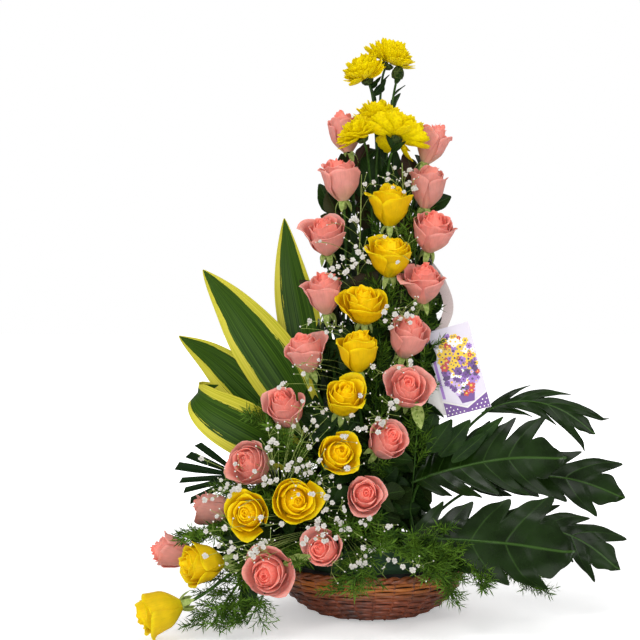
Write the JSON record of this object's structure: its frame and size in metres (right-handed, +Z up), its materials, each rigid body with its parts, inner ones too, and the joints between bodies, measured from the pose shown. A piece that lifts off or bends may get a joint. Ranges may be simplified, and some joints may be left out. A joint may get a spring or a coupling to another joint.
{
  "type": "flower basket arrangement",
  "caption": "Tall basket arrangement of pink and yellow roses, yellow chrysanthemums and mixed leaves in foam, with a greeting card and a ribbon.",
  "frame": {"origin": "middle of the basket's base, on the surface that it stands on", "axes": "+Z up; -Y towards the side that the flowers face; +X to the right as seen from that side"},
  "size_m": [0.611, 0.3186, 0.7488],
  "materials": {
    "willow": "matt woven willow",
    "liner": "satin black-green plastic",
    "foam": "wet floral foam, matt",
    "pink": "soft rose petals",
    "yellow": "soft rose petals",
    "daisy": "soft chrysanthemum petals",
    "stem": "green stems and rose leaves",
    "striped": "leathery leaf with yellow edges",
    "palm": "leathery palm leaf",
    "lobed": "glossy leaf",
    "fern": "soft needles",
    "gypsophila": "white florets on thin green threads",
    "card": "printed coated card",
    "envelope": "plain paper",
    "ribbon": "satin ribbon"
  },
  "bodies": {
    "root": {"basket": "willow", "liner": "liner", "rose_pink_01": "pink", "rose_pink_02": "pink", "rose_pink_03": "pink", "rose_pink_04": "pink", "rose_pink_05": "pink", "rose_pink_06": "pink", "rose_pink_07": "pink", "rose_pink_08": "pink", "rose_pink_09": "pink", "rose_pink_10": "pink", "rose_pink_11": "pink", "rose_pink_12": "pink", "rose_pink_13": "pink", "rose_pink_14": "pink", "rose_pink_15": "pink", "rose_pink_16": "pink", "rose_pink_17": "pink", "rose_pink_18": "pink", "rose_pink_19": "pink", "rose_yellow_20": "yellow", "rose_yellow_21": "yellow", "rose_yellow_22": "yellow", "rose_yellow_23": "yellow", "rose_yellow_24": "yellow", "rose_yellow_25": "yellow", "rose_yellow_26": "yellow", "rose_yellow_27": "yellow", "rose_yellow_28": "yellow", "rose_yellow_29": "yellow", "chrysanthemum_upper_left": "daisy", "chrysanthemum_upper_right": "daisy", "chrysanthemum_lower": "daisy", "striped_leaf_tall": "striped", "striped_leaf_broad": "striped", "striped_leaf_side": "striped", "striped_leaf_curled": "striped", "lobed_leaf_arching": "lobed", "lobed_leaf_upper": "lobed", "lobed_leaf_far": "lobed", "lobed_leaf_front": "lobed", "lobed_leaf_low": "lobed", "palm_fan": "palm", "greeting_card": "card", "message_sheet": "envelope", "ribbon": "ribbon", "chrysanthemum_stems": "stem", "rose_stems_left": "stem", "rose_stems_middle": "stem", "rose_stems_right": "stem", "rose_stems_low": "stem", "rose_stems_front": "stem", "asparagus_left": "fern", "asparagus_front": "fern", "asparagus_right": "fern", "babys_breath_left": "gypsophila", "babys_breath_right": "gypsophila", "babys_breath_low": "gypsophila", "foam": "foam"}
  },
  "joints": []
}
